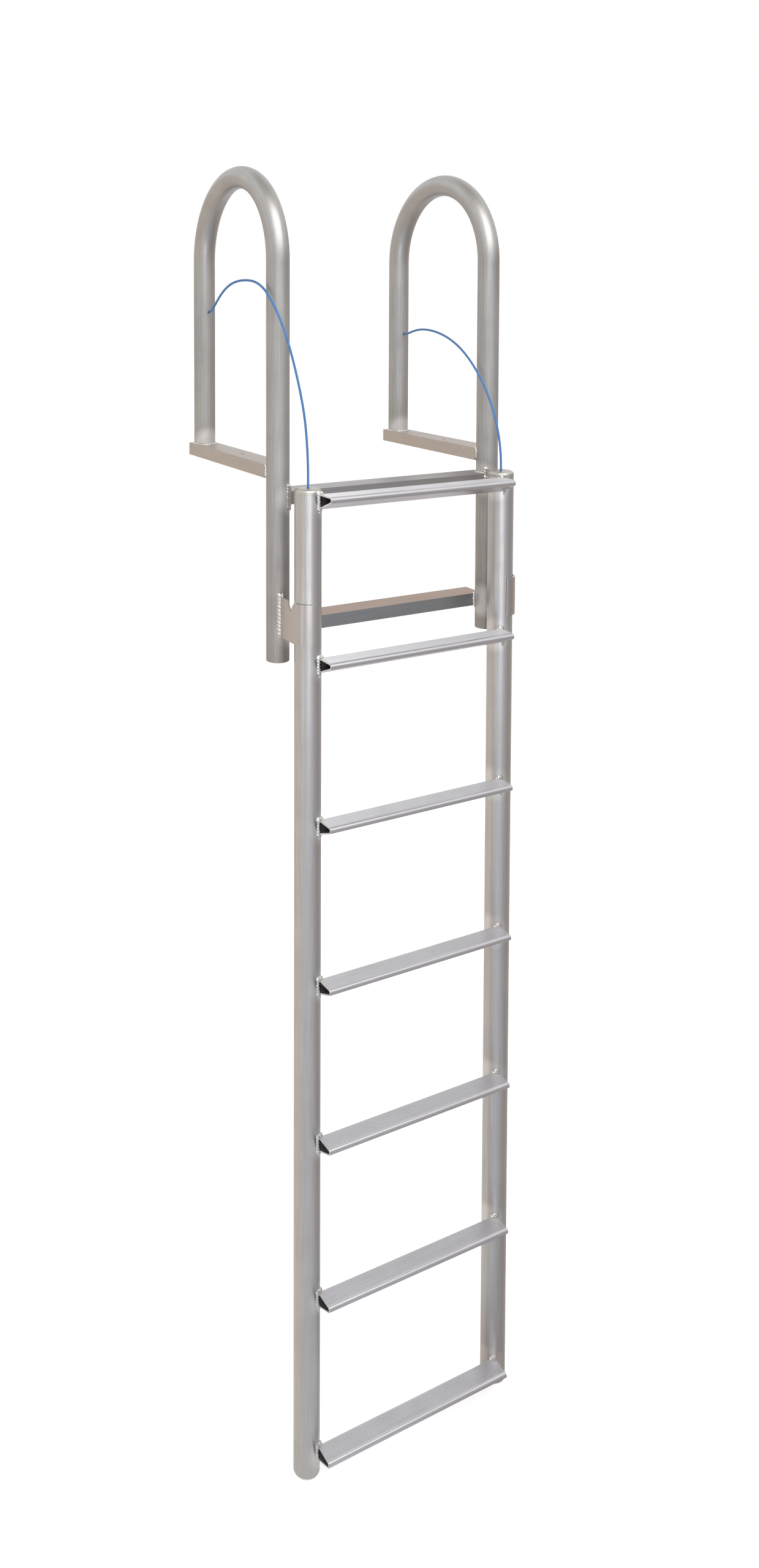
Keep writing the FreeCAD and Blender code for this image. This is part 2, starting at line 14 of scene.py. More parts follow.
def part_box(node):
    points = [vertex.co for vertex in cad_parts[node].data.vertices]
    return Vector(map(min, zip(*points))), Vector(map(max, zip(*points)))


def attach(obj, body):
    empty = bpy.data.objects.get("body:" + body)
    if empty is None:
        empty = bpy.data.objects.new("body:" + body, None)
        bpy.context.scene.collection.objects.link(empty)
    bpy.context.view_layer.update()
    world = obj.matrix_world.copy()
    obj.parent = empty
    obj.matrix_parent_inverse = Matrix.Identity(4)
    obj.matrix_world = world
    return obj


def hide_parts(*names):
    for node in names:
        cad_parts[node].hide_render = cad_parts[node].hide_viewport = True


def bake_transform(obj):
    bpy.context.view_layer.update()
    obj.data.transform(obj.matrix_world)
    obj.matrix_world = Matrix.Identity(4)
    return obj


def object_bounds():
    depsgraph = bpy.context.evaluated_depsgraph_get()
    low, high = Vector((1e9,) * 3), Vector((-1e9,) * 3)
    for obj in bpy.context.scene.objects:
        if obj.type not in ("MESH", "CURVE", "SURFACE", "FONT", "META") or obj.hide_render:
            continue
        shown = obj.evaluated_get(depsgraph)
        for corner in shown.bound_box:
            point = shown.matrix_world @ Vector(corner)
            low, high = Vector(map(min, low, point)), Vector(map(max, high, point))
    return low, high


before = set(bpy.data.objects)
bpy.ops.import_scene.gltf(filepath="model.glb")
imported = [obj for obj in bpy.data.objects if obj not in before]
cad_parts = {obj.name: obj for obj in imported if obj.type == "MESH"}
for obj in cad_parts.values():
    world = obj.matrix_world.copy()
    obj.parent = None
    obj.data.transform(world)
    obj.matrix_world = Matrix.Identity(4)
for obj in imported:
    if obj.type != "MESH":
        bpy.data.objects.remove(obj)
model_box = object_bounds()
MM = 0.001
print("pieces in the model:", len(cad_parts))

# %% [markdown]
# The photograph was taken from the water side, to the left of the ladder, and its uprights stay upright
# in the picture. A camera that looks almost level keeps them so. The lens shift then frames the long drop
# below the deck, as a view camera does. The numbers come from matching the ends of the treads, the rails
# and the tops of the handrail loops.

# %% Camera
PHOTO_WIDTH, PHOTO_HEIGHT = 1239, 2560
FOCAL_PIXELS = 2015.3
AXIS_X, AXIS_Y = 442.8, 555.0
CAMERA_PLACE = Vector((-1.0783, -2.2294, 0.3781))
CAMERA_TURN = -27.47
CAMERA_TILT = -2.93
SENSOR_WIDTH = 36

camera_rotation = (radians(90 + CAMERA_TILT), 0, radians(CAMERA_TURN))
bpy.ops.object.camera_add(location=CAMERA_PLACE, rotation=camera_rotation)
camera = bpy.context.object
camera.name = "photo_camera"
camera.data.sensor_width = SENSOR_WIDTH
camera.data.lens = FOCAL_PIXELS * SENSOR_WIDTH / PHOTO_HEIGHT
camera.data.shift_x = (PHOTO_WIDTH / 2 - AXIS_X) / PHOTO_HEIGHT
camera.data.shift_y = (AXIS_Y - PHOTO_HEIGHT / 2) / PHOTO_HEIGHT
bpy.context.scene.camera = camera
print(f"lens {camera.data.lens:.1f} mm, shift {camera.data.shift_x:.3f}, {camera.data.shift_y:.3f}")

# %% [markdown]
# Every finish below is a small node tree, and three helpers keep them readable. One turns a colour
# written as on a web page into the linear values that the shaders expect. One adds a node, sets it up
# and links it. The last one starts a material with its shader.

# %% Helpers for finishes
def linear(code):
    """An sRGB hex colour as linear RGBA."""
    channels = [int(code[i:i + 2], 16) / 255 for i in (1, 3, 5)]
    return (*[c / 12.92 if c <= 0.04045 else ((c + 0.055) / 1.055) ** 2.4 for c in channels], 1.0)


def add_node(tree, kind, settings=None, inputs=None):
    """Adds a node, then fills its settings and its sockets, each with a value or a link."""
    node = tree.nodes.new(kind)
    for name, value in (settings or {}).items():
        setattr(node, name, value)
    for socket, value in (inputs or {}).items():
        if isinstance(value, bpy.types.NodeSocket):
            tree.links.new(value, node.inputs[socket])
        else:
            node.inputs[socket].default_value = value
    return node


def new_finish(name):
    """An empty material with its output and a Principled shader."""
    material = bpy.data.materials.new(name)
    material.use_nodes = True
    tree = material.node_tree
    tree.nodes.clear()
    shader = add_node(tree, "ShaderNodeBsdfPrincipled")
    add_node(tree, "ShaderNodeOutputMaterial", inputs={"Surface": shader.outputs["BSDF"]})
    return material, tree, shader


print("mid grey is", [round(c, 3) for c in linear("#808080")[:3]])

# %% [markdown]
# The ropes come next, because how far they reach decides whether the model has room for them. Each is a
# thin springy line that starts in a hole in the dock-side leg, arches over in one bow and comes down
# into the middle of the cap on the rail. The route is a list of points in millimetres, the same list that
# the model uses, and a NURBS curve that follows them gives the smooth bow.

# %% Rope routes
ROPE_DIAMETER = 4.8 * MM
LEG_INSIDE_Y = 131.6
RAIL_Y = -258.35
CAP_FOOT = -19
CURVE_STEPS = 12
CURVE_ORDER = 3
LEFT_ROUTE = [
    (0, LEG_INSIDE_Y, 304), (0, LEG_INSIDE_Y - 16, 305), (-2, 92, 321), (-5, 54, 345), (-10, 8, 362),
    (-16, -42, 370), (-22, -95, 372), (-28, -146, 369), (-31, -190, 355), (-28, -225, 323),
    (-21, -248, 281), (-11, -261, 230), (0, -267, 176), (11, -267, 122), (19, -262, 68), (22.5, -259, 24),
    (22.9, RAIL_Y, -2), (22.9, RAIL_Y, CAP_FOOT),
]
RIGHT_ROUTE = [
    (489, LEG_INSIDE_Y, 248), (489, LEG_INSIDE_Y - 16, 248), (488, 90, 256), (484, 50, 262), (478, 3, 261),
    (471, -45, 255), (464, -94, 243), (459, -140, 223), (457, -180, 194), (458, -214, 156),
    (461, -238, 112), (464, -252, 66), (465.7, -257.5, 27), (466.1, RAIL_Y, -1), (466.1, RAIL_Y, CAP_FOOT),
]


def centre_line(name, route):
    """Points along the NURBS curve that has the route's points as its control points."""
    curve = bpy.data.curves.new(name, "CURVE")
    curve.dimensions = "3D"
    curve.resolution_u = CURVE_STEPS
    spline = curve.splines.new("NURBS")
    spline.points.add(len(route) - 1)
    for point, place in zip(spline.points, route):
        point.co = (*(Vector(place) * MM), 1)
    spline.order_u = CURVE_ORDER
    spline.use_endpoint_u = True
    holder = bpy.data.objects.new(name, curve)
    bpy.context.collection.objects.link(holder)
    line = bpy.data.meshes.new_from_object(holder)
    points = [vertex.co.copy() for vertex in line.vertices]
    bpy.data.objects.remove(holder)
    bpy.data.meshes.remove(line)
    return points


def length_of(points):
    """The length of a line through the points."""
    return sum((b - a).length for a, b in zip(points, points[1:]))


left_line = centre_line("left_rope_line", LEFT_ROUTE)
right_line = centre_line("right_rope_line", RIGHT_ROUTE)
print(f"ropes: left {length_of(left_line) * 1000:.0f} mm, right {length_of(right_line) * 1000:.0f} mm")

# %% [markdown]
# A rope is three strands laid round each other. Three separate spirals would cost many faces, so one
# tube with a three-lobed section is turned steadily as it follows the line. The lobes then read as
# strands. The tube carries its own map, so that the fibres can follow the lay in the finish.

# %% Rope mesh
STRANDS = 3
SIDES_PER_STRAND = 6
LAY_LENGTH = 16 * MM
STRAND_DEPTH = 0.13
RING_STEP = 1.4 * MM


def evenly(points, step):
    """Places at equal steps along a line of points."""
    total = length_of(points)
    count = ceil(total / step)
    spots, travelled, index = [points[0]], 0.0, 0
    for number in range(1, count):
        target = total * number / count
        while travelled + (points[index + 1] - points[index]).length < target:
            travelled += (points[index + 1] - points[index]).length
            index += 1
        run = points[index + 1] - points[index]
        spots.append(points[index] + run * ((target - travelled) / run.length))
    return spots + [points[-1]]


def lobed_rings(spots, sides):
    """The corners of a three-lobed ring at each spot, turned by the lay, and how far along each ring is."""
    vertices, distances = [], []
    along = 0.0
    side = Vector((1, 0, 0))
    for index, spot in enumerate(spots):
        ahead = spots[min(index + 1, len(spots) - 1)]
        behind = spots[max(index - 1, 0)]
        heading = (ahead - behind).normalized()
        side = (side - heading * side.dot(heading)).normalized()
        other = heading.cross(side)
        turn = 2 * pi * along / LAY_LENGTH
        for number in range(sides):
            angle = 2 * pi * number / sides
            lobe = 1 - STRAND_DEPTH * (1 - cos(STRANDS * angle)) / 2
            reach = ROPE_DIAMETER / 2 * lobe
            vertices.append(spot + side * (reach * cos(angle + turn)) + other * (reach * sin(angle + turn)))
        distances.append(along)
        if index < len(spots) - 1:
            along += (spots[index + 1] - spot).length
    return vertices, distances


def add_lay_map(mesh, sides, distances):
    """A map that goes once round the rope, and once along it in each lay length."""
    lay = mesh.uv_layers.new(name="lay")
    for face in mesh.polygons:
        numbers = [vertex % sides for vertex in face.vertices]
        closing = len(numbers) == 4 and sides - 1 in numbers
        for loop in face.loop_indices:
            ring, number = divmod(mesh.loops[loop].vertex_index, sides)
            round_it = sides if closing and number == 0 else number
            lay.data[loop].uv = (round_it / sides, distances[ring] / LAY_LENGTH)


def twisted_rope(name, points):
    """A closed tube of three lobes that turns once in each lay length."""
    spots = evenly(points, RING_STEP)
    sides = STRANDS * SIDES_PER_STRAND
    vertices, distances = lobed_rings(spots, sides)
    faces = []
    for ring in range(len(spots) - 1):
        for number in range(sides):
            following = (number + 1) % sides
            faces.append((ring * sides + number, ring * sides + following,
                          (ring + 1) * sides + following, (ring + 1) * sides + number))
    last = (len(spots) - 1) * sides
    faces.append(tuple(reversed(range(sides))))
    faces.append(tuple(range(last, last + sides)))
    mesh = bpy.data.meshes.new(name)
    mesh.from_pydata(vertices, [], faces)
    rope = bpy.data.objects.new(name, mesh)
    bpy.context.collection.objects.link(rope)
    add_lay_map(mesh, sides, distances)
    for face in mesh.polygons:
        face.use_smooth = len(face.vertices) == 4
    return rope


left_rope = twisted_rope("left_springy_rope", left_line)
right_rope = twisted_rope("right_springy_rope", right_line)
for rope, line, node, route in (
    (left_rope, left_line, "left_rope", LEFT_ROUTE),
    (right_rope, right_line, "right_rope", RIGHT_ROUTE),
):
    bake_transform(rope)
    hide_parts(node)
print("rope faces:", len(left_rope.data.polygons), len(right_rope.data.polygons))

# %% [markdown]
# Every joint of the frame is welded by hand, and the row of ripples that the torch leaves is what shows
# it. One ripple is modelled once: a low lump, much wider than it is long, pushed over at the top the way
# the bead was laid. It is started from a sphere of few faces, because hundreds of copies follow.

# %% One weld ripple
RIPPLE_LONG = 4.8 * MM
RIPPLE_WIDE = 8.4 * MM
RIPPLE_HIGH = 3.8 * MM
RIPPLE_LEAN = 0.9 * MM
RIPPLE_PITCH = 5.2 * MM
RIPPLE_SLANT = radians(38)
LEANING_PART = RIPPLE_HIGH / 8

bpy.ops.object.select_all(action="DESELECT")
bpy.ops.mesh.primitive_uv_sphere_add(segments=10, ring_count=6, radius=0.5)
ripple = bpy.context.object
ripple.name = "weld_ripple"
bpy.ops.object.mode_set(mode="EDIT")
bpy.ops.transform.resize(value=(RIPPLE_LONG, RIPPLE_WIDE, RIPPLE_HIGH))
bpy.ops.mesh.select_all(action="DESELECT")
bpy.ops.object.mode_set(mode="OBJECT")
for vertex in ripple.data.vertices:
    vertex.select = vertex.co.z > LEANING_PART
bpy.ops.object.mode_set(mode="EDIT")
bpy.ops.transform.translate(value=(RIPPLE_LEAN, 0, 0))
bpy.ops.object.mode_set(mode="OBJECT")
print("ripple faces:", len(ripple.data.polygons))

# %% [markdown]
# A bead follows its joint, so each run is a list of places, each with the direction that faces out of
# the corner and a size, where 1 is the ripple above. Round a tube the run is an arc, and beside a flat
# it is a straight line. A bold one starts in a blob, where the torch waits for the metal to melt, and
# ends in a small ring, the crater where the torch was lifted. The ripples are slanted copies, a little
# different in size, because nobody moves a torch like a machine. A lower lump between each two keeps the
# troughs shallow, and a smaller pitch makes a smoother bead. They are all joined, and a voxel remesh
# melts them into one skin, which is what the metal did.

# %% Weld runs
VOXEL = 0.6 * MM
BLOB = 1.1
FILLER_SIZE = 0.9
FILLER_DEPTH = 0.6 * MM
CRATER_RADIUS = 2.6 * MM
CRATER_LUMPS = 7
UNEVEN = 0.1
steady_hand = Random(7)


def straight_run(start, end, outward, size=1.0, blob=1.0, pitch=RIPPLE_PITCH):
    """Ripples along a straight joint, all with one outward direction. The first is larger, by blob."""
    start, end = Vector(start), Vector(end)
    count = max(1, round((end - start).length / (pitch * size)))
    return [(start.lerp(end, (number + 0.5) / count), Vector(outward).normalized(),
             size * (blob if number == 0 else 1)) for number in range(count)]


def round_run(centre, radius, first, last, slope, size=1.0, pitch=RIPPLE_PITCH):
    """Ripples round an upright tube between two bearings in degrees, facing out and up as slope says."""
    count = max(1, round(radius * radians(abs(last - first)) / (pitch * size)))
    run = []
    for number in range(count):
        turn = radians(first + (last - first) * (number + 0.5) / count)
        away = Vector((cos(turn), sin(turn), 0))
        run.append((Vector(centre) + away * radius, (away + Vector((0, 0, slope))).normalized(), size))
    return run


def crater(end, outward, size=0.5):
    """Small lumps in a ring, where a bead ends."""
    outward = Vector(outward).normalized()
    aside = outward.cross(Vector((0, 0, 1))).normalized()
    upward = aside.cross(outward)
    turns = [2 * pi * number / CRATER_LUMPS for number in range(CRATER_LUMPS)]
    return [(Vector(end) + (aside * cos(turn) + upward * sin(turn)) * CRATER_RADIUS, outward, size)
            for turn in turns]


def with_filler(run):
    """A run with a lower, smaller lump between each two ripples."""
    filled = run[:1]
    for (place, _, _), (next_place, outward, size) in zip(run, run[1:]):
        filled.append(((place + next_place) / 2 - outward * FILLER_DEPTH * size, outward, size * FILLER_SIZE))
        filled.append((next_place, outward, size))
    return filled


def lump(name, place, ahead, outward, size):
    """One copy of the ripple at a place, slanted across the way that the bead runs."""
    across = outward.cross(ahead)
    forward = ahead * cos(RIPPLE_SLANT) - across * sin(RIPPLE_SLANT)
    sideways = across * cos(RIPPLE_SLANT) + ahead * sin(RIPPLE_SLANT)
    turned = Matrix((forward, sideways, outward)).transposed().to_4x4()
    mesh = ripple.data.copy()
    scale = size * steady_hand.uniform(1 - UNEVEN, 1 + UNEVEN)
    mesh.transform(Matrix.Translation(place) @ turned @ Matrix.Scale(scale, 4))
    copy = bpy.data.objects.new(name, mesh)
    bpy.context.collection.objects.link(copy)
    return copy


def weld(name, body, runs):
    """One welded joint: ripples along its runs, melted into one piece that rides with the body."""
    copies = []
    for run in [with_filler(run) for run in runs]:
        for index, (place, outward, size) in enumerate(run):
            before, after = run[max(index - 1, 0)][0], run[min(index + 1, len(run) - 1)][0]
            ahead = (after - before) if (after - before).length > 0 else outward.orthogonal()
            ahead = (ahead - outward * ahead.dot(outward)).normalized()
            copies.append(lump(name, place, ahead, outward, size))
    bpy.ops.object.select_all(action="DESELECT")
    for copy in copies:
        copy.select_set(True)
    bpy.context.view_layer.objects.active = copies[0]
    if len(copies) > 1:
        bpy.ops.object.join()
    bead = bpy.context.view_layer.objects.active
    bead.name = name
    melt = bead.modifiers.new("melt", "REMESH")
    melt.mode = "VOXEL"
    melt.voxel_size = VOXEL
    bpy.ops.object.modifier_apply(modifier=melt.name)
    bpy.ops.object.shade_smooth()
    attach(bead, body)
    welds.append(bead)
    return bead


welds = []
print("bead pitch", round(RIPPLE_PITCH * 1000, 1), "mm")

# %% [markdown]
# On the fixed frame, the dock-side leg stands on its foot bar in a low ring of weld. It is open at the back,
# where the tube is flush with the bar's end. The foot bar's coped end hugs the upright and has a weld round
# its top and up both sides. The cross members meet the uprights in the same way, and there a fat bead runs
# down the front corner, past the bar above and below.

# %% Welds of the fixed frame
TUBE_RADIUS = 22.25 * MM
COPE_MARGIN = 8 * MM
SEAM = 1.0 * MM
SMOOTH_PITCH = 3.0 * MM
UP, DOWN = 1, -1
LEG_BEAD = 0.75
LEG_BEAD_FROM, LEG_BEAD_TO = 125, 415
FOOT_TOP_BEAD = 0.8
FOOT_SIDE_BEAD = 0.95
ABOVE_DECK = 3 * MM
CROSS_BEAD = 0.9
CORNER_BEAD = 1.8
CORNER_PAST = {"upper_cross": (12 * MM, 8 * MM), "lower_cross": (2 * MM, 2 * MM)}


def upright_centre(side):
    """The middle of the front leg in plan, from the corners of its loop's box."""
    low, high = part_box(f"{side}_handrail_loop")
    return Vector(((low.x + high.x) / 2, low.y + TUBE_RADIUS, 0))


def leg_centre(side):
    """The middle of the dock-side leg in plan."""
    low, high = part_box(f"{side}_handrail_loop")
    return Vector(((low.x + high.x) / 2, high.y - TUBE_RADIUS, 0))


for side in ("left", "right"):
    low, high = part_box(f"{side}_foot_bar")
    leg = leg_centre(side)
    leg.z = high.z + SEAM / 2
    leg_ring = round_run(leg, TUBE_RADIUS + SEAM / 2, LEG_BEAD_FROM, LEG_BEAD_TO, UP, LEG_BEAD, SMOOTH_PITCH)
    weld(f"{side}_leg_weld", "frame", [leg_ring])
    upright = upright_centre(side)
    depth = low.y - upright.y
    reach = sqrt(TUBE_RADIUS ** 2 - depth ** 2)
    turn = degrees(atan2(depth, reach))
    top = upright.copy()
    top.z = high.z + SEAM / 2
    runs = [round_run(top, TUBE_RADIUS + SEAM, turn, 180 - turn, UP, FOOT_TOP_BEAD)]
    for outboard in (-1, 1):
        edge = (upright.x + outboard * (reach + SEAM), low.y - SEAM / 2)
        facing = (outboard * 0.6, -1, 0)
        runs.append(straight_run((*edge, high.z - MM), (*edge, low.z + ABOVE_DECK), facing, FOOT_SIDE_BEAD,
                                 pitch=SMOOTH_PITCH))
    weld(f"{side}_foot_weld", "frame", runs)


def cross_weld(name, side, bar, above, below):
    """The weld of a cross member's coped end: over it, under it, and down its front corner."""
    low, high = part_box(bar)
    upright = upright_centre(side)
    inward = 1 if side == "left" else -1
    front = max(-TUBE_RADIUS, low.y - upright.y)
    back = sqrt(TUBE_RADIUS ** 2 - COPE_MARGIN ** 2)
    first = degrees(atan2(front, sqrt(TUBE_RADIUS ** 2 - front ** 2)))
    last = degrees(atan2(back, COPE_MARGIN))
    if inward < 0:
        first, last = 180 - first, 180 - last
    top, under = upright.copy(), upright.copy()
    top.z, under.z = high.z + SEAM, low.z - SEAM / 2
    corner_x = upright.x + inward * (sqrt(TUBE_RADIUS ** 2 - front ** 2) + SEAM)
    front_corner = (corner_x, low.y - SEAM / 2)
    corner = straight_run((*front_corner, high.z + above), (*front_corner, low.z - below),
                          (inward * 0.3, -1, 0), CORNER_BEAD, pitch=SMOOTH_PITCH)
    rings = [round_run(place, TUBE_RADIUS + SEAM, first, last, slope, CROSS_BEAD, SMOOTH_PITCH)
             for place, slope in ((top, UP), (under, DOWN))]
    weld(name, "frame", [*rings, corner])


for bar, (above, below) in CORNER_PAST.items():
    for side in ("left", "right"):
        cross_weld(f"{bar}_{side}_weld", side, f"{bar}_member", above, below)
print("welds on the frame so far:", len(welds))

# %% [markdown]
# The guide strap is held by one bold bead down each face of its flat, because it has to take the pull of the
# whole ladder. It starts a little above the strap, in a blob, and ends at its lower corner in a crater. Some
# metal also ran down the edge of the notch.

# %% Welds of the guide straps
STRAP_THICKNESS = 3.2 * MM
STRAP_BEAD = 1.35
STRAP_BEAD_OUT = 1.8 * MM
STRAP_BEAD_FRONT = 1.2 * MM
ABOVE_STRAP = 7 * MM
NOTCH_DROP = 19 * MM
NOTCH_SLOPE = 6 * MM
NOTCH_BEAD = 0.4
NOTCH_BLOB = 1.6

for side, outboard in (("left", -1), ("right", 1)):
    low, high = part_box(f"{side}_guide_strap")
    upright = upright_centre(side)
    faces = (low.x, low.x + STRAP_THICKNESS) if outboard < 0 else (high.x, high.x - STRAP_THICKNESS)
    runs = []
    for face, away in zip(faces, (outboard, -outboard)):
        aside = face - upright.x
        touch_y = upright.y - sqrt(TUBE_RADIUS ** 2 - aside ** 2)
        spot = (face + away * STRAP_BEAD_OUT, touch_y - STRAP_BEAD_FRONT)
        facing = (away, -0.7, 0)
        start, end = (*spot, high.z + ABOVE_STRAP), (*spot, low.z + 3 * MM)
        runs.append(straight_run(start, end, facing, STRAP_BEAD, BLOB))
        runs.append(crater((*spot, low.z + MM), facing))
    notch_top = Vector((faces[0] - outboard * STRAP_THICKNESS / 2, touch_y - 8 * MM, high.z - 4 * MM))
    notch_foot = notch_top + Vector((0, -NOTCH_SLOPE, NOTCH_SLOPE - NOTCH_DROP))
    runs.append(straight_run(notch_top, notch_foot, (outboard, 0, 0.8), NOTCH_BEAD, NOTCH_BLOB))
    weld(f"{side}_strap_weld", "frame", runs)
print("welds on the frame:", len(welds))

# %% [markdown]
# On the ladder, each end of a tread has a bead down the corner between its back wall and the rail, inside
# and out, and a short one over the top corner. The outer bead and the top one each end in a crater. The cap
# is closed by a ring of weld that was ground round, so it has the cap's own finish.

# %% Welds of the ladder
RAIL_RADIUS = 25.4 * MM
BACK_WALL = 28 * MM
UNDER_RIBS = 1 * MM
RING_FROM, RING_TO = -90, 270
CAP_SLOPE = 0.4
CAP_BEAD = 0.55
TREAD_BEAD = 1.6
TREAD_PITCH = 3.7 * MM
ABOVE_TREAD = 5 * MM
INNER_BEAD = 0.8
TOP_BEAD = 1.1
OUTER_CRATER = 0.45
TOP_CRATER = 0.6
STEP_COUNT = len([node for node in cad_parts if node.startswith("step_")])
cap_rings = []


def tread_runs(end_x, touch_y, tread, outboard):
    """The runs at one end of a tread: down the corner outside, then inside, then over the top."""
    outer = (end_x + outboard * 3.2 * MM, touch_y - 2 * MM)
    inner = (end_x - outboard * 2.6 * MM, touch_y + 2.6 * MM)
    foot = tread - BACK_WALL
    top_start = (end_x - outboard * 10 * MM, touch_y + 4 * MM, tread + 0.8 * MM)
    top_end = (end_x + outboard * 1.0 * MM, touch_y - 1.8 * MM, tread + 1.6 * MM)
    top_crater = (end_x - outboard * 2 * MM, touch_y - 1.5 * MM, tread + 3 * MM)
    facing = (outboard * 0.45, -1, 0)
    return [
        straight_run((*outer, tread + ABOVE_TREAD), (*outer, foot), facing, TREAD_BEAD, BLOB, TREAD_PITCH),
        crater((*outer, foot - 3 * MM), facing, OUTER_CRATER),
        straight_run((*inner, tread - MM), (*inner, foot), (-outboard, 0.4, 0), INNER_BEAD),
        straight_run(top_start, top_end, (0, -1, 1.4), TOP_BEAD),
        crater(top_crater, (0, -1, 0.6), TOP_CRATER),
    ]


for side, outboard in (("left", -1), ("right", 1)):
    low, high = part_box(f"{side}_rail_cap")
    rail = (low + high) / 2
    rail.z = low.z + SEAM / 2
    cap_ring = round_run(rail, RAIL_RADIUS - SEAM, RING_FROM, RING_TO, CAP_SLOPE, CAP_BEAD, SMOOTH_PITCH)
    cap_rings.append(weld(f"{side}_cap_weld", "ladder", [cap_ring]))
    for number in range(1, STEP_COUNT + 1):
        low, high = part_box(f"step_{number}")
        end_x = low.x if outboard < 0 else high.x
        touch_y = rail.y - sqrt(RAIL_RADIUS ** 2 - (end_x - rail.x) ** 2)
        runs = tread_runs(end_x, touch_y, high.z - UNDER_RIBS, outboard)
        weld(f"step_{number}_{side}_weld", "ladder", runs)
bpy.data.objects.remove(ripple)
print("welds:", len(welds), "with", sum(len(bead.data.polygons) for bead in welds), "faces")

# %% [markdown]
# The rope is blue polypropylene twine. It is a plastic, so its shine is a pale skin over a strong colour.
# The fibres run along the strands, which the map's second direction follows, and they are drawn about
# three times too coarse, because the real ones are finer than the picture can show.

# %% Rope finish
FIBRES_ROUND = 60
FIBRES_ALONG = 3
FIBRE_RELIEF = 0.2 * MM

rope_finish, tree, shader = new_finish("laid_polypropylene_blue")
lay_map = add_node(tree, "ShaderNodeUVMap", {"uv_map": "lay"})
fibre_scale = add_node(tree, "ShaderNodeMapping", inputs={
    "Vector": lay_map.outputs["UV"], "Scale": (FIBRES_ROUND, FIBRES_ALONG, 1)})
fibres = add_node(tree, "ShaderNodeTexNoise", inputs={
    "Vector": fibre_scale.outputs["Vector"], "Scale": 1.0, "Detail": 3.0})
tone = add_node(tree, "ShaderNodeValToRGB", inputs={"Fac": fibres.outputs["Fac"]})
tone.color_ramp.elements[0].position = 0.32
tone.color_ramp.elements[0].color = linear("#2F62A6")
tone.color_ramp.elements[1].position = 0.68
tone.color_ramp.elements[1].color = linear("#5E9BD6")
grain = add_node(tree, "ShaderNodeBump", inputs={
    "Height": fibres.outputs["Fac"], "Strength": 0.5, "Distance": FIBRE_RELIEF})
tree.links.new(tone.outputs["Color"], shader.inputs["Base Color"])
tree.links.new(grain.outputs["Normal"], shader.inputs["Normal"])
shader.inputs["Roughness"].default_value = 0.42
shader.inputs["IOR"].default_value = 1.49
for rope in (left_rope, right_rope):
    rope.data.materials.append(rope_finish)
print("rope finish:", rope_finish.name)

# %% [markdown]
# The tube is mill-finish aluminium: extruded, never polished or painted. The die leaves faint lines
# along the tube. Real ones are too fine to show here, so they are drawn a few millimetres apart. They
# have to run along each piece, so the noise is drawn out along it. On a bent loop the lines follow the
# bend. Distance from the arch's centre stays the same along the bend, so it is used there instead of the
# depth. The other helpers are masks, which say where a second tone goes: on the faces that look along
# one axis, on the sawn end of a strap, between two heights, or round each welded joint.

# %% Lines and masks on the aluminium
DIE_LINE = 2.5 * MM
DRAWN_OUT = 0.02
SQUARE_ON = 0.9
HALF_ON = 0.5
STRAP_END_Y = (RAIL_Y - 14) * MM
BRUSHED_CORE = 0.5
BRUSHED_AMOUNT = 0.7


def across_the_tube(tree, place, along, bend=None):
    """The place on a piece with its long direction scaled down, so that noise becomes lines along it."""
    parts = add_node(tree, "ShaderNodeSeparateXYZ", inputs={"Vector": place})
    x, y, z = (parts.outputs[axis] for axis in "XYZ")
    if bend:
        middle_y, spring_z = bend
        depth = add_node(tree, "ShaderNodeMath", {"operation": "SUBTRACT"}, {0: y, 1: middle_y}).outputs[0]
        above = add_node(tree, "ShaderNodeMath", {"operation": "SUBTRACT"}, {0: z, 1: spring_z}).outputs[0]
        above = add_node(tree, "ShaderNodeMath", {"operation": "MAXIMUM"}, {0: above, 1: 0.0}).outputs[0]
        pair = add_node(tree, "ShaderNodeCombineXYZ", inputs={"X": depth, "Y": above}).outputs["Vector"]
        y = add_node(tree, "ShaderNodeVectorMath", {"operation": "LENGTH"}, {0: pair}).outputs["Value"]
    straight = add_node(tree, "ShaderNodeCombineXYZ", inputs={"X": x, "Y": y, "Z": z})
    scale = [DRAWN_OUT if axis == along else 1 for axis in "xyz"]
    return add_node(tree, "ShaderNodeVectorMath", {"operation": "MULTIPLY"}, {
        0: straight.outputs["Vector"], 1: scale}).outputs["Vector"]


def facing_mask(tree, axis, least):
    """One on the faces that look along an axis, with at least that cosine, and nothing on the others."""
    facing = add_node(tree, "ShaderNodeTexCoord").outputs["Normal"]
    along = add_node(tree, "ShaderNodeSeparateXYZ", inputs={"Vector": facing}).outputs[axis]
    along = add_node(tree, "ShaderNodeMath", {"operation": "ABSOLUTE"}, {0: along}).outputs[0]
    return add_node(tree, "ShaderNodeMath", {"operation": "GREATER_THAN"}, {0: along, 1: least}).outputs[0]


# The strap's sawn end gets the near-white of a fresh cut, which is partly bare metal and partly a painted
# highlight.
def cut_end_mask(tree, place):
    """One on a strap's sawn end, which looks sideways in front of the rail."""
    depth = add_node(tree, "ShaderNodeSeparateXYZ", inputs={"Vector": place}).outputs["Y"]
    in_front = add_node(tree, "ShaderNodeMath", {"operation": "LESS_THAN"}, {0: depth, 1: STRAP_END_Y})
    return add_node(tree, "ShaderNodeMath", {"operation": "MULTIPLY"}, {
        0: facing_mask(tree, "X", SQUARE_ON), 1: in_front.outputs[0]}).outputs[0]


